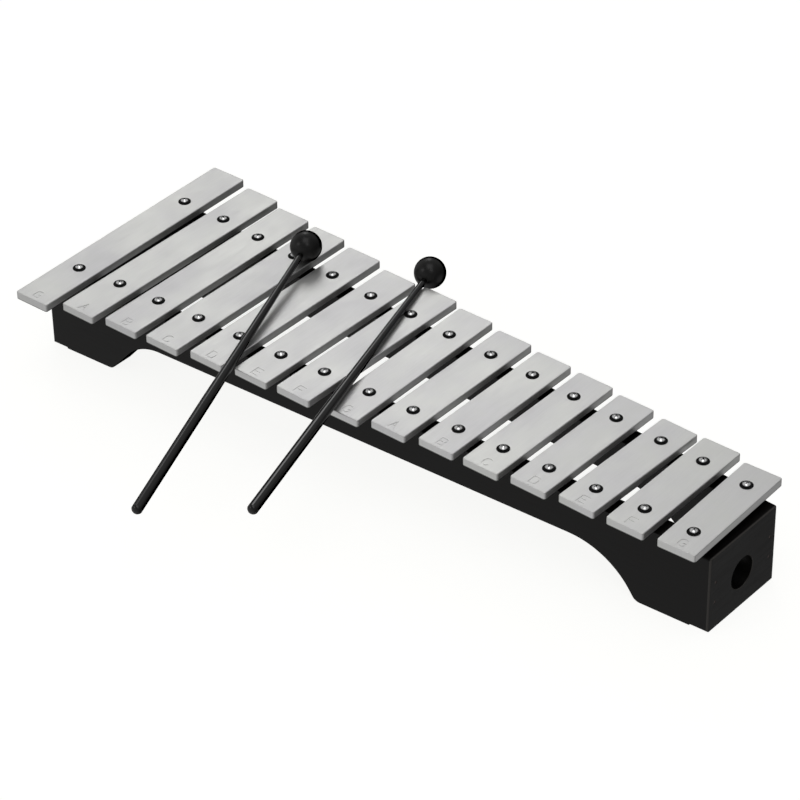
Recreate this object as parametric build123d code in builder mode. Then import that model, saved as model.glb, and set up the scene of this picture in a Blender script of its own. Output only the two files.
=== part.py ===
"""Two-octave diatonic glockenspiel: fifteen metal bars on a tapering wooden frame, with two mallets.

Millimetres. X runs from the low-note end to the high-note end, Y from the player's side (-Y) to
the back, Z is up. The origin is under the low-note end board, at the middle of its underside, on
the frame's centre line.
"""

from build123d import *
import math
import os

# ------------------------------------------------------------------ driving dimensions

# bars: flat aluminium strip, two octaves of the scale of C from G to G. Each row has a bar's
# length and how it sits on its hand-drilled rails: shifted along X and Y from its regular place,
# and turned, in degrees
BARS = {
    "G5": (184.5, 0.8, -0.8, 0.65),
    "A5": (170.9, 1.2, 0.6, -0.25),
    "B5": (160.8, 0.2, 0.1, -0.10),
    "C6": (156.2, -0.2, 0.0, -0.10),
    "D6": (147.4, -0.1, -0.1, -0.40),
    "E6": (137.8, 0.6, -1.3, -0.85),
    "F6": (136.9, 0.1, 0.1, -1.00),
    "G6": (129.3, 0.8, -0.7, 0.55),
    "A6": (120.1, 0.6, -0.1, -0.30),
    "B6": (112.7, 0.5, 0.4, -0.25),
    "C7": (110.1, 0.3, 0.0, -0.40),
    "D7": (103.4, 0.0, 0.0, -0.60),
    "E7": (97.0, 0.5, -0.2, -1.60),
    "F7": (96.1, -0.5, 0.4, 0.50),
    "G7": (89.5, 0.1, -1.1, 1.90),
}
BAR_WIDTH = 25.8
BAR_THICKNESS = 5.2
BAR_PITCH = 32.5
BAR_CORNER_RADIUS = 1.6
BAR_TOP_EDGE_RADIUS = 0.6
BAR_BOTTOM_EDGE_RADIUS = 0.5
BAR_HOLE_RADIUS = 4.1

# frame: two long rails that draw together towards the high notes, closed by two end boards
FRAME_LENGTH = 492.6
LOW_END_WIDTH = 112.8
HIGH_END_WIDTH = 64.8
FRAME_HEIGHT = 54.6
FIRST_BAR_FROM_LOW_END = 21.2
RAIL_THICKNESS = 14.4
END_BOARD_THICKNESS = 12.0
END_BOARD_DROP = 2.2  # the end boards stop this far below the rails' tops
EDGE_RADIUS = 0.8
END_BOARD_TOP_RADIUS = 1.2
END_BOARD_EDGE_RADIUS = 1.6

# the arch cut under each rail, which leaves a foot at each end
LOW_FOOT_LENGTH = 49.7
HIGH_FOOT_LENGTH = 49.0
ARCH_HEIGHT = 28.4
LOW_ARCH_SLOPE = 49.0  # degrees from level
HIGH_ARCH_SLOPE = 56.0
LOW_ARCH_RADIUS = 34.0
HIGH_ARCH_RADIUS = 51.0
FOOT_CORNER_RADIUS = 6.0

# round hole through the high-note end board, wide enough for a mallet's ball
MALLET_HOLE_RADIUS = 10.4
MALLET_HOLE_HEIGHT = 23.6
MALLET_HOLE_EDGE_RADIUS = 0.6

# rubber bush under and through each end of a bar, and the screw that holds it
SCREW_FROM_RAIL_FACE = 6.4
SEAT_HEIGHT = 2.5
SEAT_RADIUS = 5.0
BUSH_PROUD = 0.4
BUSH_EDGE_RADIUS = 0.35
SCREW_SHANK_RADIUS = 1.5
SCREW_DEPTH_IN_RAIL = 18.0
SCREW_TIP_LENGTH = 3.0
SCREW_HEAD_RADIUS = 2.5
SCREW_HEAD_RIM = 0.55
SCREW_HEAD_HEIGHT = 1.65
CROSS_SLOT_LENGTH = 2.7
CROSS_SLOT_WIDTH = 0.62
CROSS_SLOT_DEPTH = 0.8
CROSS_TURN = 37.0  # degrees, each screw stops at a different angle

# brads through each end board into the rail ends
BRAD_HEIGHTS = [18.8, 33.0]
BRAD_FROM_SIDE = 5.9
BRAD_HEAD_RADIUS = 1.0
BRAD_HEAD_HEIGHT = 0.6
BRAD_SHANK_RADIUS = 0.65
BRAD_LENGTH = 25.0
BRAD_SUNK = 0.15

# clearance between a fastener or peg and the hole it sits in
HOLE_CLEARANCE = 0.02

# note letter stamped near the player's end of each bar
LETTER_HALF_WIDTH = 2.3
LETTER_HALF_HEIGHT = 3.2
LETTER_STROKE = 0.85
LETTER_DEPTH = 0.2
LETTER_FROM_BAR_END = 6.0
LETTER_OFFSET = 0.8

# mallets: ball on a handle that thickens towards the grip
BALL_RADIUS = 10.1
HANDLE_REACH = 264.5  # centre of the ball to the grip's end
HANDLE_NECK_RADIUS = 2.0
HANDLE_GRIP_RADIUS = 3.3
HANDLE_NECK_END = 14.0  # distances along the handle from the ball's centre
HANDLE_GRIP_START = 160.0
HANDLE_END_DEPTH = 2.4  # length of the rounded end
HANDLE_INSIDE_BALL = 3.0  # the handle stops this far beyond the ball's centre
REST_CLEARANCE = 0.05

# where the two mallets lie: ball centre from the first bar's centre, and the handle's heading
LEFT_BALL_X, LEFT_BALL_Y = 106.4, 45.4
LEFT_HEADING = 19.4  # degrees from straight at the player, towards the high notes
LEFT_REST = 113.0  # distance from the ball at which the handle lies on the D bar's edge
RIGHT_BALL_X, RIGHT_BALL_Y = 177.7, 80.2
RIGHT_HEADING = 17.0

# ------------------------------------------------------------------ worked-out places

NOTES = list(BARS)
LOW_FACE_X = -END_BOARD_THICKNESS / 2
HIGH_FACE_X = LOW_FACE_X + FRAME_LENGTH
RAIL_START_X = LOW_FACE_X + END_BOARD_THICKNESS
RAIL_END_X = HIGH_FACE_X - END_BOARD_THICKNESS
FIRST_BAR_X = LOW_FACE_X + FIRST_BAR_FROM_LOW_END
BAR_BOTTOM = FRAME_HEIGHT + SEAT_HEIGHT
BAR_TOP = BAR_BOTTOM + BAR_THICKNESS
TAPER = (LOW_END_WIDTH - HIGH_END_WIDTH) / 2 / FRAME_LENGTH
PLAYER, BACK = -1, 1


def half_width(x):
    """Distance from the centre line to the rails' outer faces."""
    return LOW_END_WIDTH / 2 - TAPER * (x - LOW_FACE_X)


def bar_x(index):
    return FIRST_BAR_X + BAR_PITCH * index


def screw_reach(index):
    """Distance from a bar's middle to each of its two screws."""
    return half_width(bar_x(index)) - SCREW_FROM_RAIL_FACE


def bar_plane(index, height):
    """Level plane with its origin over a bar's middle and its y direction along the bar."""
    _, shift_x, shift_y, turn = BARS[NOTES[index]]
    across = (math.cos(math.radians(turn)), math.sin(math.radians(turn)), 0)
    return Plane(origin=(bar_x(index) + shift_x, shift_y, height), x_dir=across, z_dir=(0, 0, 1))


def screw_places(side):
    places = [
        bar_plane(index, 0).from_local_coords((0, side * screw_reach(index), 0))
        for index in range(len(NOTES))
    ]
    return [(place.X, place.Y) for place in places]


def write(part, name):
    part.label = name
    export_step(part, f"parts/{name}.step")


os.makedirs("parts", exist_ok=True)

# ------------------------------------------------------------------ brads


def brad_planes(face_x, inward):
    """One plane for each brad at an end of the frame, on the board's face and facing inwards."""
    return [
        Plane(origin=(face_x, side * (half_width(face_x) - BRAD_FROM_SIDE), height), z_dir=(inward, 0, 0))
        for side in (PLAYER, BACK)
        for height in BRAD_HEIGHTS
    ]


for face_x, inward, name in ((LOW_FACE_X, 1, "low_end_brads"), (HIGH_FACE_X, -1, "high_end_brads")):
    with BuildPart() as brads:
        for place in brad_planes(face_x, inward):
            with BuildSketch(place.offset(BRAD_SUNK)):
                Circle(BRAD_HEAD_RADIUS)
            extrude(amount=BRAD_HEAD_HEIGHT)
            with BuildSketch(place.offset(BRAD_SUNK)):
                Circle(BRAD_SHANK_RADIUS)
            extrude(amount=BRAD_LENGTH)
    write(brads.part, name)

# the holes that the brads sit in, cut from the end boards and the rails
with BuildPart() as brad_holes:
    for place in brad_planes(LOW_FACE_X, 1) + brad_planes(HIGH_FACE_X, -1):
        with BuildSketch(place):
            Circle(BRAD_HEAD_RADIUS + HOLE_CLEARANCE)
        extrude(amount=BRAD_SUNK + BRAD_HEAD_HEIGHT + HOLE_CLEARANCE)
        with BuildSketch(place):
            Circle(BRAD_SHANK_RADIUS + HOLE_CLEARANCE)
        extrude(amount=BRAD_SUNK + BRAD_LENGTH + HOLE_CLEARANCE)

# ------------------------------------------------------------------ rails

low_arch_run = ARCH_HEIGHT / math.tan(math.radians(LOW_ARCH_SLOPE))
high_arch_run = ARCH_HEIGHT / math.tan(math.radians(HIGH_ARCH_SLOPE))

for side, name in ((PLAYER, "front_rail"), (BACK, "rear_rail")):
    with BuildPart() as rail:
        # side view: feet at both ends and the arch between them
        with BuildSketch(Plane.XZ):
            with BuildLine():
                FilletPolyline(
                    (RAIL_START_X, 0),
                    (LOW_FACE_X + LOW_FOOT_LENGTH, 0),
                    (LOW_FACE_X + LOW_FOOT_LENGTH + low_arch_run, ARCH_HEIGHT),
                    (HIGH_FACE_X - HIGH_FOOT_LENGTH - high_arch_run, ARCH_HEIGHT),
                    (HIGH_FACE_X - HIGH_FOOT_LENGTH, 0),
                    (RAIL_END_X, 0),
                    radius=[FOOT_CORNER_RADIUS, LOW_ARCH_RADIUS, HIGH_ARCH_RADIUS, FOOT_CORNER_RADIUS],
                )
                Polyline(
                    (RAIL_END_X, 0),
                    (RAIL_END_X, FRAME_HEIGHT),
                    (RAIL_START_X, FRAME_HEIGHT),
                    (RAIL_START_X, 0),
                )
            make_face()
        extrude(amount=LOW_END_WIDTH, both=True)
        # plan view: a straight board that runs in towards the high notes
        with BuildSketch(Plane.XY):
            with BuildLine():
                Polyline(
                    (RAIL_START_X, side * half_width(RAIL_START_X)),
                    (RAIL_END_X, side * half_width(RAIL_END_X)),
                    (RAIL_END_X, side * (half_width(RAIL_END_X) - RAIL_THICKNESS)),
                    (RAIL_START_X, side * (half_width(RAIL_START_X) - RAIL_THICKNESS)),
                    close=True,
                )
            make_face()
        extrude(amount=FRAME_HEIGHT, mode=Mode.INTERSECT)
        outer_face = rail.faces().sort_by(Axis.Y)[0 if side == PLAYER else -1]
        inner_face = rail.faces().sort_by(Axis.Y)[-1 if side == PLAYER else 0]
        long_edges = outer_face.edges().filter_by(Axis.Z, reverse=True)
        long_edges += inner_face.edges().filter_by(Axis.Z, reverse=True)
        fillet(long_edges, EDGE_RADIUS)
        # pilot holes for the bars' screws
        with BuildSketch(Plane.XY.offset(FRAME_HEIGHT)):
            with Locations(*screw_places(side)):
                Circle(SCREW_SHANK_RADIUS + HOLE_CLEARANCE)
        extrude(amount=-SCREW_DEPTH_IN_RAIL - HOLE_CLEARANCE, mode=Mode.SUBTRACT)
        add(brad_holes.part, mode=Mode.SUBTRACT)
    write(rail.part, name)

# ------------------------------------------------------------------ end boards

for face_x, inward, name in ((LOW_FACE_X, 1, "low_end_board"), (HIGH_FACE_X, -1, "high_end_board")):
    inner_x = face_x + inward * END_BOARD_THICKNESS
    with BuildPart() as board:
        with BuildSketch(Plane.XY):
            with BuildLine():
                Polyline(
                    (face_x, -half_width(face_x)),
                    (face_x, half_width(face_x)),
                    (inner_x, half_width(inner_x)),
                    (inner_x, -half_width(inner_x)),
                    close=True,
                )
            make_face()
        extrude(amount=FRAME_HEIGHT - END_BOARD_DROP)
        outer_face = board.faces().sort_by(Axis.X)[0 if inward == 1 else -1]
        fillet(outer_face.edges().sort_by(Axis.Z)[-1], END_BOARD_TOP_RADIUS)
        side_faces = board.faces().sort_by(Axis.Y)
        side_edges = side_faces[0].edges() + side_faces[-1].edges()
        outer_edges = side_edges.filter_by(lambda edge: abs(edge.center().X - inner_x) > 0.5)
        fillet(outer_edges, END_BOARD_EDGE_RADIUS)
        if inward == -1:
            with BuildSketch(Plane(origin=(face_x, 0, MALLET_HOLE_HEIGHT), z_dir=(inward, 0, 0))):
                Circle(MALLET_HOLE_RADIUS)
            extrude(amount=END_BOARD_THICKNESS, mode=Mode.SUBTRACT)
            outer_face = board.faces().sort_by(Axis.X)[-1]
            fillet(outer_face.edges().filter_by(GeomType.CIRCLE), MALLET_HOLE_EDGE_RADIUS)
        add(brad_holes.part, mode=Mode.SUBTRACT)
    write(board.part, name)

# ------------------------------------------------------------------ bars


def line_stroke(x0, y0, x1, y1):
    return Edge.make_line((x0, y0), (x1, y1))


def bow_stroke(centre_x, centre_y, radius, start_angle, end_angle):
    return Edge.make_circle(radius, Plane(origin=(centre_x, centre_y, 0)), start_angle, end_angle)


def letter_strokes(letter):
    """Centre lines of a plain capital, about its own middle."""
    w, h = LETTER_HALF_WIDTH, LETTER_HALF_HEIGHT
    stem = line_stroke(-w, -h, -w, h)
    bowl_centre = h - w  # height of the round part's centre above and below the middle
    if letter in "CG":
        strokes = [
            bow_stroke(0, bowl_centre, w, 25, 180),
            line_stroke(-w, bowl_centre, -w, -bowl_centre),
            bow_stroke(0, -bowl_centre, w, 180, 335),
        ]
        if letter == "G":
            end_x = w * math.cos(math.radians(25))
            end_y = -bowl_centre - w * math.sin(math.radians(25))
            strokes.append(line_stroke(end_x, end_y, end_x, -0.1 * h))
            strokes.append(line_stroke(end_x, -0.1 * h, 0.2 * w, -0.1 * h))
        return strokes
    if letter == "A":
        return [
            line_stroke(-w, -h, 0, h),
            line_stroke(0, h, w, -h),
            line_stroke(-0.64 * w, -0.28 * h, 0.64 * w, -0.28 * h),
        ]
    if letter == "B":
        bowl = h / 2
        strokes = [stem]
        for middle in (bowl, -bowl):
            strokes.append(bow_stroke(w - bowl, middle, bowl, -90, 90))
        for height in (h, 0, -h):
            strokes.append(line_stroke(-w, height, w - bowl, height))
        return strokes
    if letter == "D":
        return [
            stem,
            line_stroke(-w, h, 0, h),
            line_stroke(-w, -h, 0, -h),
            bow_stroke(0, bowl_centre, w, 0, 90),
            bow_stroke(0, -bowl_centre, w, 270, 360),
            line_stroke(w, bowl_centre, w, -bowl_centre),
        ]
    strokes = [stem, line_stroke(-w, h, w, h), line_stroke(-w, 0, 0.7 * w, 0)]
    if letter == "E":
        strokes.append(line_stroke(-w, -h, w, -h))
    return strokes


for index, note in enumerate(NOTES):
    length = BARS[note][0]
    with BuildPart() as bar:
        with BuildSketch(bar_plane(index, BAR_BOTTOM)):
            RectangleRounded(BAR_WIDTH, length, BAR_CORNER_RADIUS)
        extrude(amount=BAR_THICKNESS)
        fillet(bar.faces().sort_by(Axis.Z)[-1].edges(), BAR_TOP_EDGE_RADIUS)
        fillet(bar.faces().sort_by(Axis.Z)[0].edges(), BAR_BOTTOM_EDGE_RADIUS)
        with BuildSketch(bar_plane(index, BAR_TOP)):
            with Locations((0, -screw_reach(index)), (0, screw_reach(index))):
                Circle(BAR_HOLE_RADIUS)
        extrude(amount=-BAR_THICKNESS, mode=Mode.SUBTRACT)
        with BuildSketch(bar_plane(index, BAR_TOP)):
            with Locations((LETTER_OFFSET, -length / 2 + LETTER_FROM_BAR_END)):
                for stroke in letter_strokes(note[0]):
                    SlotArc(stroke, LETTER_STROKE)
        extrude(amount=-LETTER_DEPTH, mode=Mode.SUBTRACT)
    write(bar.part, "bar_" + note.lower())

# ------------------------------------------------------------------ bushes and bar screws

for side, name in ((PLAYER, "front_bushes"), (BACK, "rear_bushes")):
    with BuildPart() as bushes:
        with BuildSketch(Plane.XY.offset(FRAME_HEIGHT)):
            with Locations(*screw_places(side)):
                Circle(SEAT_RADIUS)
        extrude(amount=SEAT_HEIGHT)
        with BuildSketch(Plane.XY.offset(BAR_BOTTOM)):
            with Locations(*screw_places(side)):
                Circle(BAR_HOLE_RADIUS)
        extrude(amount=BAR_THICKNESS + BUSH_PROUD)
        fillet(bushes.edges().group_by(Axis.Z)[-1], BUSH_EDGE_RADIUS)
        with BuildSketch(Plane.XY.offset(FRAME_HEIGHT)):
            with Locations(*screw_places(side)):
                Circle(SCREW_SHANK_RADIUS + HOLE_CLEARANCE)
        extrude(amount=BAR_TOP + BUSH_PROUD - FRAME_HEIGHT, mode=Mode.SUBTRACT)
    write(bushes.part, name)

head_bottom = BAR_TOP + BUSH_PROUD
head_top = head_bottom + SCREW_HEAD_HEIGHT
tip = FRAME_HEIGHT - SCREW_DEPTH_IN_RAIL

for side, name in ((PLAYER, "front_bar_screws"), (BACK, "rear_bar_screws")):
    with BuildPart() as screws:
        for index, (x, y) in enumerate(screw_places(side)):
            with BuildSketch(Plane.XZ.offset(-y)):
                with BuildLine():
                    Polyline(
                        (x, tip),
                        (x + SCREW_SHANK_RADIUS, tip + SCREW_TIP_LENGTH),
                        (x + SCREW_SHANK_RADIUS, head_bottom),
                        (x + SCREW_HEAD_RADIUS, head_bottom),
                        (x + SCREW_HEAD_RADIUS, head_bottom + SCREW_HEAD_RIM),
                    )
                    rim = (x + SCREW_HEAD_RADIUS, head_bottom + SCREW_HEAD_RIM)
                    TangentArc((x, head_top), rim, tangent=(1, 0))
                    Line((x, head_top), (x, tip))
                make_face()
            revolve(axis=Axis((x, y, 0), (0, 0, 1)))
            with BuildSketch(Plane.XY.offset(head_top)):
                with Locations((x, y)):
                    turn = CROSS_TURN * (index + 1) * side
                    Rectangle(CROSS_SLOT_LENGTH, CROSS_SLOT_WIDTH, rotation=turn)
                    Rectangle(CROSS_SLOT_WIDTH, CROSS_SLOT_LENGTH, rotation=turn)
            extrude(amount=-CROSS_SLOT_DEPTH, mode=Mode.SUBTRACT)
    write(screws.part, name)

# ------------------------------------------------------------------ mallets


def handle_radius(distance):
    """Radius of the handle at a distance from the ball's centre, as a straight taper."""
    share = (distance - HANDLE_NECK_END) / (HANDLE_GRIP_START - HANDLE_NECK_END)
    return HANDLE_NECK_RADIUS + min(max(share, 0), 1) * (HANDLE_GRIP_RADIUS - HANDLE_NECK_RADIUS)


def mallet_plane(ball_centre, heading, droop):
    """Plane with its x direction along the handle, away from the ball, and its y direction level."""
    turn, fall = math.radians(heading), math.radians(droop)
    along = (math.sin(turn) * math.cos(fall), -math.cos(turn) * math.cos(fall), -math.sin(fall))
    level = Vector(along).cross(Vector(0, 0, 1))
    return Plane(origin=ball_centre, x_dir=along, z_dir=Vector(along).cross(level))


def make_mallet(plane, name):
    along = Axis(plane.origin, plane.x_dir)
    with BuildPart() as handle:
        with BuildSketch(plane):
            with BuildLine():
                Polyline(
                    (HANDLE_REACH, 0),
                    (-HANDLE_INSIDE_BALL, 0),
                    (-HANDLE_INSIDE_BALL, HANDLE_NECK_RADIUS),
                    (HANDLE_NECK_END, HANDLE_NECK_RADIUS),
                    (HANDLE_GRIP_START, HANDLE_GRIP_RADIUS),
                    (HANDLE_REACH - HANDLE_END_DEPTH, HANDLE_GRIP_RADIUS),
                )
                grip_end = (HANDLE_REACH - HANDLE_END_DEPTH, HANDLE_GRIP_RADIUS)
                TangentArc((HANDLE_REACH, 0), grip_end, tangent=(0, 1))
            make_face()
        revolve(axis=along)
    write(handle.part, name + "_handle")

    with BuildPart() as ball:
        with BuildSketch(plane):
            with BuildLine():
                Line((-BALL_RADIUS, 0), (BALL_RADIUS, 0))
                ThreePointArc((BALL_RADIUS, 0), (0, BALL_RADIUS), (-BALL_RADIUS, 0))
            make_face()
        revolve(axis=along)
        with BuildSketch(Plane(origin=plane.origin - HANDLE_INSIDE_BALL * plane.x_dir, z_dir=plane.x_dir)):
            Circle(HANDLE_NECK_RADIUS + HOLE_CLEARANCE)
        extrude(amount=2 * BALL_RADIUS, mode=Mode.SUBTRACT)
    write(ball.part, name + "_ball")


# the left mallet's ball sits on the C bar and its handle lies on the D bar's edge
left_drop = BALL_RADIUS - handle_radius(LEFT_REST)
left_droop = math.degrees(math.asin(left_drop / LEFT_REST))
left_ball = (FIRST_BAR_X + LEFT_BALL_X, LEFT_BALL_Y, BAR_TOP + BALL_RADIUS + REST_CLEARANCE)
make_mallet(mallet_plane(left_ball, LEFT_HEADING, left_droop), "left_mallet")

# the right mallet lies flat on the bars, with its ball hanging past their far ends
taper_angle = math.degrees(
    math.atan((HANDLE_GRIP_RADIUS - HANDLE_NECK_RADIUS) / (HANDLE_GRIP_START - HANDLE_NECK_END))
)
right_height = handle_radius(0) - HANDLE_NECK_END * math.tan(math.radians(taper_angle))
right_ball = (FIRST_BAR_X + RIGHT_BALL_X, RIGHT_BALL_Y, BAR_TOP + right_height + REST_CLEARANCE)
make_mallet(mallet_plane(right_ball, RIGHT_HEADING, -taper_angle), "right_mallet")
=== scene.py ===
"""Looks for the glockenspiel: black painted frame, satin aluminium bars, plated screws and mallets.

Metres, in the same frame as the CAD. Every piece is a CAD node that gets a procedural material.
"""
import math

import bpy
from mathutils import Matrix, Vector


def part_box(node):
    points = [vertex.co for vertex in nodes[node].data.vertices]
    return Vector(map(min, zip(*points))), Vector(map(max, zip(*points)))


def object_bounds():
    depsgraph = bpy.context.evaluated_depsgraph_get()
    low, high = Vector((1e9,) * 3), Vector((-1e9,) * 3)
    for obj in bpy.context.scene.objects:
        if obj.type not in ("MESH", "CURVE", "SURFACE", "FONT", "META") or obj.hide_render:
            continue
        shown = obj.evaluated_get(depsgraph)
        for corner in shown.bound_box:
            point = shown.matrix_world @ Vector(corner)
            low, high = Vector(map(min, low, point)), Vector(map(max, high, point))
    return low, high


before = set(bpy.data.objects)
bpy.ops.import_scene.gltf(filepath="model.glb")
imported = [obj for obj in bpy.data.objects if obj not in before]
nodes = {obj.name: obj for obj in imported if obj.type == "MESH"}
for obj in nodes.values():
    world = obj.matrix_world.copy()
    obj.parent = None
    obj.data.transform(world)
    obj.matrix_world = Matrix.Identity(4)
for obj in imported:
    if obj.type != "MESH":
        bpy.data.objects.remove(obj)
cad_low, cad_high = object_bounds()

BARS = sorted(n for n in nodes if n.startswith("bar_"))
BAR_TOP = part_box("bar_g5")[1].z
BAR_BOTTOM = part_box("bar_g5")[0].z
FIRST_BAR_FROM_LOW_END = 0.0212
FIRST_BAR_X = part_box("low_end_board")[0].x + FIRST_BAR_FROM_LOW_END


# ---- camera ------------------------------------------------------------------------------------
CAMERA_AZIMUTH = math.radians(40.33)
CAMERA_ELEVATION = math.radians(35.71)
CAMERA_ROLL = math.radians(-1.00)
CAMERA_FROM_FIRST_BAR = Vector((1.28596, -1.25614, 1.15302))
CAMERA_LENS = 151.15

back = Vector((math.sin(CAMERA_AZIMUTH) * math.cos(CAMERA_ELEVATION),
               -math.cos(CAMERA_AZIMUTH) * math.cos(CAMERA_ELEVATION),
               math.sin(CAMERA_ELEVATION)))
level_right = Vector((0, 0, 1)).cross(back).normalized()
level_up = back.cross(level_right)
right = math.cos(CAMERA_ROLL) * level_right + math.sin(CAMERA_ROLL) * level_up
up = math.cos(CAMERA_ROLL) * level_up - math.sin(CAMERA_ROLL) * level_right

camera = bpy.data.objects.new("camera", bpy.data.cameras.new("camera"))
bpy.context.scene.collection.objects.link(camera)
camera.data.sensor_width = 36
camera.data.lens = CAMERA_LENS
camera.data.clip_start = 0.05
camera.data.clip_end = 60
camera.matrix_world = Matrix.Translation(
    Vector((FIRST_BAR_X, 0, BAR_TOP)) + CAMERA_FROM_FIRST_BAR
) @ Matrix((right, up, back)).transposed().to_4x4()
bpy.context.scene.camera = camera


# ---- light -------------------------------------------------------------------------------------
scene = bpy.context.scene
scene.view_settings.view_transform = "Standard"
scene.view_settings.look = "None"
centre = (cad_low + cad_high) / 2


def area_light(name, direction, distance, size, radiance):
    """A square soft light at a distance along direction, aimed at the middle of the object."""
    data = bpy.data.lights.new(name, "AREA")
    data.shape = "SQUARE"
    data.size = size
    data.energy = radiance * math.pi * size * size
    light = bpy.data.objects.new(name, data)
    scene.collection.objects.link(light)
    away = Vector(direction).normalized()
    light.location = centre + away * distance
    light.rotation_mode = "QUATERNION"
    light.rotation_quaternion = away.to_track_quat("Z", "Y")


# name, direction from the middle of the object, distance, size, radiance
area_light("key_light", (-0.66, 0.60, 0.60), 6.0, 3.2, 0.21)
area_light("key_core", (-0.57, 0.60, 0.58), 6.0, 1.7, 2.05)
area_light("front_light", (-0.46, -0.70, 0.55), 3.0, 0.8, 1.6)
area_light("side_light", (0.55, -0.37, 0.75), 3.0, 0.8, 1.6)
area_light("overhead_light", (0.10, -0.15, 1.0), 3.0, 2.0, 0.95)
area_light("reflector", (0.483, 0.29, -0.26), 0.62, 0.45, 0.34)


# The surroundings are pale, brightest low on the player's side and dimmest low behind the
# high-note end. Each glow adds its strength round one direction and fades out at its reach.
SURROUNDINGS = 0.30
GLOWS = [  # direction, cosine where it starts, cosine where it is full, strength
    ((-0.45, -0.70, -0.55), -0.10, 0.95, 0.28),
    ((0.60, 0.55, -0.58), 0.10, 0.95, -0.20),
    ((-0.50, 0.85, -0.05), 0.65, 0.98, -0.27),
    ((-0.52, 0.62, -0.58), 0.25, 0.95, -0.25),
    ((-0.50, 0.62, 0.60), 0.30, 0.98, 0.15),
]
world = bpy.data.worlds.new("studio")
scene.world = world
world.use_nodes = True
tree = world.node_tree
heading = tree.nodes.new("ShaderNodeTexCoord").outputs["Generated"]
total = None
for direction, start, full, strength in GLOWS:
    toward = tree.nodes.new("ShaderNodeVectorMath")
    toward.operation = "DOT_PRODUCT"
    toward.inputs[1].default_value = Vector(direction).normalized()
    tree.links.new(heading, toward.inputs[0])
    fade = tree.nodes.new("ShaderNodeMapRange")
    fade.interpolation_type = "SMOOTHSTEP"
    fade.inputs["From Min"].default_value = start
    fade.inputs["From Max"].default_value = full
    fade.inputs["To Min"].default_value = 0.0
    fade.inputs["To Max"].default_value = strength
    tree.links.new(toward.outputs["Value"], fade.inputs["Value"])
    add = tree.nodes.new("ShaderNodeMath")
    add.operation = "ADD"
    tree.links.new(fade.outputs["Result"], add.inputs[0])
    if total is None:
        add.inputs[1].default_value = SURROUNDINGS
    else:
        tree.links.new(total, add.inputs[1])
    total = add.outputs[0]
tree.links.new(total, tree.nodes["Background"].inputs["Color"])


# ---- material helpers --------------------------------------------------------------------------
class Look:
    """A node material, with its Principled shader and small helpers to feed it."""

    def __init__(self, name):
        self.material = bpy.data.materials.new(name)
        self.material.use_nodes = True
        self.tree = self.material.node_tree
        self.shader = self.tree.nodes["Principled BSDF"]
        self.place = self.tree.nodes.new("ShaderNodeTexCoord").outputs["Object"]

    def node(self, kind, **settings):
        made = self.tree.nodes.new(kind)
        for key, value in settings.items():
            if hasattr(made, key):
                setattr(made, key, value)
            else:
                made.inputs[key].default_value = value
        return made

    def link(self, source, target):
        self.tree.links.new(source, target)

    def stretched(self, scale, offset=(0, 0, 0)):
        """The object's own coordinates, stretched by scale."""
        mapping = self.node("ShaderNodeMapping")
        mapping.inputs["Scale"].default_value = scale
        mapping.inputs["Location"].default_value = offset
        self.link(self.place, mapping.inputs["Vector"])
        return mapping.outputs["Vector"]

    def noise(self, scale, detail=3.0, roughness=0.55, where=None, distortion=0.0):
        """Noise from 0 to 1. A single scale gives blobs, and three scales give streaks."""
        texture = self.node("ShaderNodeTexNoise")
        texture.inputs["Detail"].default_value = detail
        texture.inputs["Roughness"].default_value = roughness
        texture.inputs["Distortion"].default_value = distortion
        if isinstance(scale, (tuple, list)):
            texture.inputs["Scale"].default_value = 1.0
            self.link(self.stretched(scale), texture.inputs["Vector"])
        else:
            texture.inputs["Scale"].default_value = scale
            self.link(where or self.place, texture.inputs["Vector"])
        return texture.outputs["Fac"]

    def span(self, value, low, high, from_low=0.3, from_high=0.7):
        """Value, which runs from from_low to from_high, taken to run from low to high."""
        made = self.node("ShaderNodeMapRange")
        made.inputs["From Min"].default_value = from_low
        made.inputs["From Max"].default_value = from_high
        made.inputs["To Min"].default_value = low
        made.inputs["To Max"].default_value = high
        self.link(value, made.inputs["Value"])
        return made.outputs["Result"]

    def mix(self, factor, dark, light):
        """A colour between two, by factor."""
        made = self.node("ShaderNodeMix", data_type="RGBA")
        a, b = [s for s in made.inputs if s.type == "RGBA"]
        for socket, value in ((a, dark), (b, light)):
            if isinstance(value, bpy.types.NodeSocket):
                self.link(value, socket)
            else:
                socket.default_value = (*value, 1)
        if isinstance(factor, bpy.types.NodeSocket):
            self.link(factor, made.inputs[0])
        else:
            made.inputs[0].default_value = factor
        return [s for s in made.outputs if s.type == "RGBA"][0]

    def math(self, operation, a, b):
        made = self.node("ShaderNodeMath", operation=operation)
        for socket, value in zip(made.inputs, (a, b)):
            if isinstance(value, bpy.types.NodeSocket):
                self.link(value, socket)
            else:
                socket.default_value = value
        return made.outputs[0]

    def normal_parts(self):
        """The surface's own direction, as its three parts."""
        parts = self.node("ShaderNodeSeparateXYZ")
        self.link(self.node("ShaderNodeNewGeometry").outputs["Normal"], parts.inputs[0])
        return parts.outputs

    def bump(self, height, distance, strength=1.0, under=None):
        """Small relief, distance deep in metres, on top of the relief under it."""
        made = self.node("ShaderNodeBump")
        made.inputs["Distance"].default_value = distance
        made.inputs["Strength"].default_value = strength
        self.link(height, made.inputs["Height"])
        if under is not None:
            self.link(under, made.inputs["Normal"])
        return made.outputs["Normal"]

    def feed(self, **sockets):
        """Links or sets the shader's inputs, named with _ for a space."""
        for name, value in sockets.items():
            socket = self.shader.inputs[name.replace("_", " ")]
            if isinstance(value, bpy.types.NodeSocket):
                self.link(value, socket)
            elif isinstance(value, tuple) and len(value) == 3 and socket.type == "RGBA":
                socket.default_value = (*value, 1)
            else:
                socket.default_value = value


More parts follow.
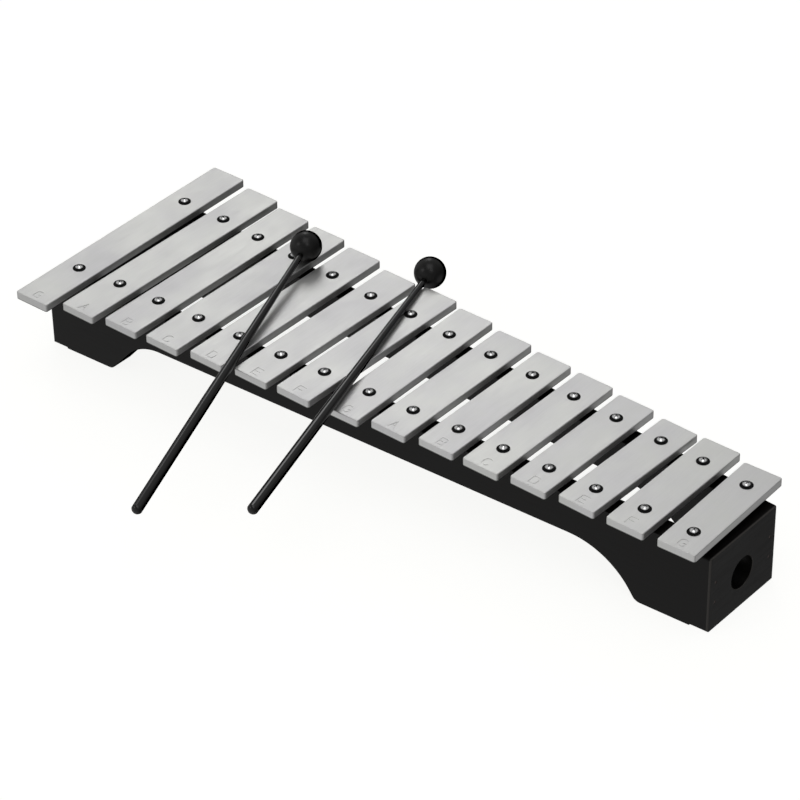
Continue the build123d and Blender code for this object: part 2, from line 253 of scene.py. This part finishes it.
METAL_DULL = (0.755, 0.758, 0.735)
METAL_BRIGHT = (0.795, 0.790, 0.795)
METAL_GRAIN = (0.72, 0.72, 0.715)
METAL_LOWER_EDGE_SHADE = (0.10, 0.10, 0.095)
METAL_FAR_EDGE_SHADE = (0.22, 0.22, 0.215)
LOWER_EDGE_SHADE_FULL = 0.0005  # heights above a bar's underside between which the painted shade along its lower edge fades
LOWER_EDGE_SHADE_GONE = 0.0009


def toned(colour, painted_shade_tone):
    return tuple(part * painted_shade_tone for part in colour)


def bar_look(name, painted_shade_tone, shift):
    """Satin rolled aluminium: fine grain along the bar and faint clouding, with painted shade along
    the lower edge and along the far top edge.
    """
    look = Look(name)
    moved = look.stretched((1, 1, 1), (shift, 0.31 * shift, 0))
    grain = look.noise((1500, 60, 60), 2.0, 0.6)
    fine = look.noise((5200, 300, 300), 2.0, 0.6)
    cloud = look.noise(24, 3.0, 0.6, where=moved)
    speck = look.noise(900, 2.0, 0.5, where=moved)
    # The bar's colours are scaled by its painted-shade brightness from the table below.
    base = look.mix(look.span(cloud, 0, 1, 0.36, 0.66),
                    toned(METAL_DULL, painted_shade_tone), toned(METAL_BRIGHT, painted_shade_tone))
    base = look.mix(look.span(grain, 0, 0.3, 0.35, 0.75), base, toned(METAL_GRAIN, painted_shade_tone))
    height = look.node("ShaderNodeSeparateXYZ")
    look.link(look.place, height.inputs[0])
    # Painted shade: a dark line along each bar's lower edge, darkest at the underside and fading out
    # just above it.
    lower_edge_shade = look.span(height.outputs["Z"], 1, 0,
                           BAR_BOTTOM + LOWER_EDGE_SHADE_FULL, BAR_BOTTOM + LOWER_EDGE_SHADE_GONE)
    base = look.mix(lower_edge_shade, base, METAL_LOWER_EDGE_SHADE)
    parts = look.normal_parts()
    # Painted shade: the rounded far top edge of each bar, where the surface faces up and away from the
    # player, is painted dark.
    far_edge_shade = look.math("MULTIPLY", parts["Y"], parts["Z"])
    base = look.mix(look.span(far_edge_shade, 0, 1, 0.15, 0.40), base, METAL_FAR_EDGE_SHADE)
    rough = look.math("ADD", look.span(grain, 0.44, 0.50), look.span(cloud, -0.03, 0.04, 0.35, 0.7))
    relief = look.bump(look.math("ADD", grain, look.math("MULTIPLY", fine, 0.6)), 0.000006)
    relief = look.bump(speck, 0.000008, under=relief)
    look.feed(Base_Color=base, Metallic=1.0, Roughness=rough, Normal=relief)
    return look.material


PAINT_DARK = (0.0026, 0.0023, 0.0020)
PAINT_PALE = (0.0042, 0.0036, 0.0032)
PAINT_GRAIN = (0.0065, 0.0058, 0.0052)
PAINT_EDGE_HIGHLIGHT = (0.060, 0.056, 0.052)
PAINT_SHEEN = 0.17


def paint_look(name, grain_scale, edge_highlight=False):
    """Black satin paint over planed wood: open grain shows faintly, and, where asked, the edges that
    face the high-note end get a painted highlight.
    """
    look = Look(name)
    grain = look.noise(grain_scale, 4.0, 0.62, distortion=0.4)
    peel = look.noise(1300, 2.0, 0.5)
    cloud = look.noise(18, 3.0, 0.6)
    base = look.mix(look.span(cloud, 0, 1), PAINT_DARK, PAINT_PALE)
    base = look.mix(look.span(grain, 0, 0.6, 0.45, 0.8), base, PAINT_GRAIN)
    if edge_highlight:
        # Painted highlight: rounded edges whose surface faces the high-note end, beside or above, are
        # painted paler.
        parts = look.normal_parts()
        beside = look.math("MULTIPLY", parts["X"], look.math("ABSOLUTE", parts["Y"], 0))
        above = look.math("MULTIPLY", parts["X"], parts["Z"])
        edge = look.math("MAXIMUM", beside, above)
        base = look.mix(look.span(edge, 0, 1, 0.18, 0.42), base, PAINT_EDGE_HIGHLIGHT)
    rough = look.math("ADD", look.span(cloud, 0.32, 0.40), look.span(grain, 0, 0.10, 0.4, 0.8))
    relief = look.bump(grain, 0.00006)
    relief = look.bump(peel, 0.00002, under=relief)
    look.feed(Base_Color=base, Roughness=rough, Normal=relief, Specular_IOR_Level=PAINT_SHEEN)
    return look.material


CHROME_PAINTED_SHADE = (0.010, 0.010, 0.010)
CHROME_BRIGHT = (0.95, 0.95, 0.95)


def chrome_look():
    """Bright plated steel, with painted shade down in the cross slots and low round the rim of the
    head.
    """
    look = Look("screw_chrome")
    shade = look.node("ShaderNodeAmbientOcclusion", samples=8)
    shade.inputs["Distance"].default_value = 0.0006
    fine = look.noise(1500, 2.0, 0.5)
    # Painted shade: the metal is painted nearly black where ambient occlusion finds the cross slots
    # and where the head slopes down towards its rim.
    crown = look.span(look.normal_parts()["Z"], 0, 1, 0.72, 0.79)
    open_sky = look.span(shade.outputs["AO"], 0, 1, 0.15, 0.55)
    base = look.mix(look.math("MULTIPLY", crown, open_sky), CHROME_PAINTED_SHADE, CHROME_BRIGHT)
    relief = look.bump(fine, 0.00001)
    look.feed(Base_Color=base, Metallic=1.0, Roughness=look.span(fine, 0.16, 0.26), Normal=relief)
    return look.material


def rubber_look(name, dark, light, rough_low, rough_high, grain, depth, sheen=0.5):
    """Moulded black rubber or plastic, with a fine skin."""
    look = Look(name)
    skin = look.noise(grain, 3.0, 0.6)
    cloud = look.noise(60, 3.0, 0.6)
    base = look.mix(look.span(cloud, 0, 1), dark, light)
    relief = look.bump(skin, depth)
    look.feed(Base_Color=base, Roughness=look.span(cloud, rough_low, rough_high), Normal=relief,
              Specular_IOR_Level=sheen)
    return look.material


def handle_look():
    """Glossy black rod with a fine skin and faint clouding."""
    look = Look("mallet_handle")
    skin = look.noise(700, 3.0, 0.6)
    cloud = look.noise(40, 3.0, 0.6)
    base = look.mix(look.span(cloud, 0, 1), (0.0016, 0.0015, 0.0014), (0.0034, 0.0031, 0.0030))
    relief = look.bump(skin, 0.000008)
    look.feed(Base_Color=base, Roughness=look.span(cloud, 0.09, 0.13), Normal=relief)
    return look.material


def dress(node, material):
    """Puts one material on a CAD node."""
    mesh = nodes[node].data
    if not mesh.materials:
        mesh.materials.append(material)
    for i in range(len(mesh.materials)):
        mesh.materials[i] = material


# Each bar's brightness, a painted shade that darkens the low-note bars most, so that the bars step in
# brightness along the row.
PAINTED_SHADE_TONES = {"bar_g5": 0.88, "bar_a5": 0.885, "bar_b5": 0.90, "bar_c6": 0.91, "bar_d6": 0.945,
         "bar_e6": 0.955, "bar_f6": 0.97, "bar_g6": 0.985, "bar_a6": 0.98, "bar_b6": 0.99,
         "bar_c7": 0.985, "bar_d7": 0.98, "bar_e7": 0.985, "bar_f7": 0.98, "bar_g7": 0.965}
PATTERN_SHIFT = 0.37  # how far the clouding moves from one bar to the next
for i, name in enumerate(BARS):
    dress(name, bar_look("metal_" + name, PAINTED_SHADE_TONES[name], PATTERN_SHIFT * i))
along_rail = paint_look("frame_paint_rails", (30, 900, 420))
along_board = paint_look("frame_paint_boards", (900, 30, 420), edge_highlight=True)
dress("front_rail", along_rail)
dress("rear_rail", along_rail)
dress("low_end_board", along_board)
dress("high_end_board", along_board)
chrome = chrome_look()
dress("front_bar_screws", chrome)
dress("rear_bar_screws", chrome)
bush = rubber_look("bush_rubber", (0.0015, 0.0015, 0.0015), (0.004, 0.004, 0.004),
                   0.6, 0.75, 1600, 0.00003, sheen=0.12)
dress("front_bushes", bush)
dress("rear_bushes", bush)
brad = rubber_look("brad_paint", (0.030, 0.014, 0.011), (0.050, 0.026, 0.020),
                   0.4, 0.5, 1500, 0.00002)
dress("low_end_brads", brad)
dress("high_end_brads", brad)
ball = rubber_look("mallet_ball", (0.0022, 0.0020, 0.0019), (0.0042, 0.0038, 0.0036),
                   0.27, 0.33, 900, 0.00001, sheen=0.36)
handle = handle_look()
for side in ("left", "right"):
    dress(side + "_mallet_ball", ball)
    dress(side + "_mallet_handle", handle)


# ---- floor -------------------------------------------------------------------------------------
# A flat floor that curves up into a wall all round. Only the camera sees it.
FLOOR_RADIUS = 5.0
WALL_RADIUS = 3.0
WALL_TOP = 12.0
RING = 96
rings = [(0.0, 0.0), (FLOOR_RADIUS * 0.5, 0.0), (FLOOR_RADIUS, 0.0)]
for degrees in range(10, 91, 10):
    slope = math.radians(degrees)
    rings.append((FLOOR_RADIUS + WALL_RADIUS * math.sin(slope), WALL_RADIUS * (1 - math.cos(slope))))
rings.append((FLOOR_RADIUS + WALL_RADIUS, WALL_TOP))
points = [(centre.x, centre.y, 0.0)]
for radius, height in rings[1:]:
    for k in range(RING):
        turn = 2 * math.pi * k / RING
        points.append((centre.x + radius * math.cos(turn), centre.y + radius * math.sin(turn), height))
faces = [(0, 1 + k, 1 + (k + 1) % RING) for k in range(RING)]
for ring in range(len(rings) - 2):
    inner, outer = 1 + ring * RING, 1 + (ring + 1) * RING
    faces += [(inner + k, outer + k, outer + (k + 1) % RING, inner + (k + 1) % RING)
              for k in range(RING)]
mesh = bpy.data.meshes.new("floor")
mesh.from_pydata(points, [], faces)
for face in mesh.polygons:
    face.use_smooth = True
floor = bpy.data.objects.new("floor", mesh)
scene.collection.objects.link(floor)
floor.visible_diffuse = False
floor.visible_glossy = False
floor.visible_transmission = False
floor.visible_shadow = False
look = Look("floor_pale")
look.feed(Base_Color=(0.22, 0.22, 0.218), Roughness=0.9, Emission_Color=(1.0, 1.0, 0.985),
          Emission_Strength=0.90, Specular_IOR_Level=0.0)
mesh.materials.append(look.material)
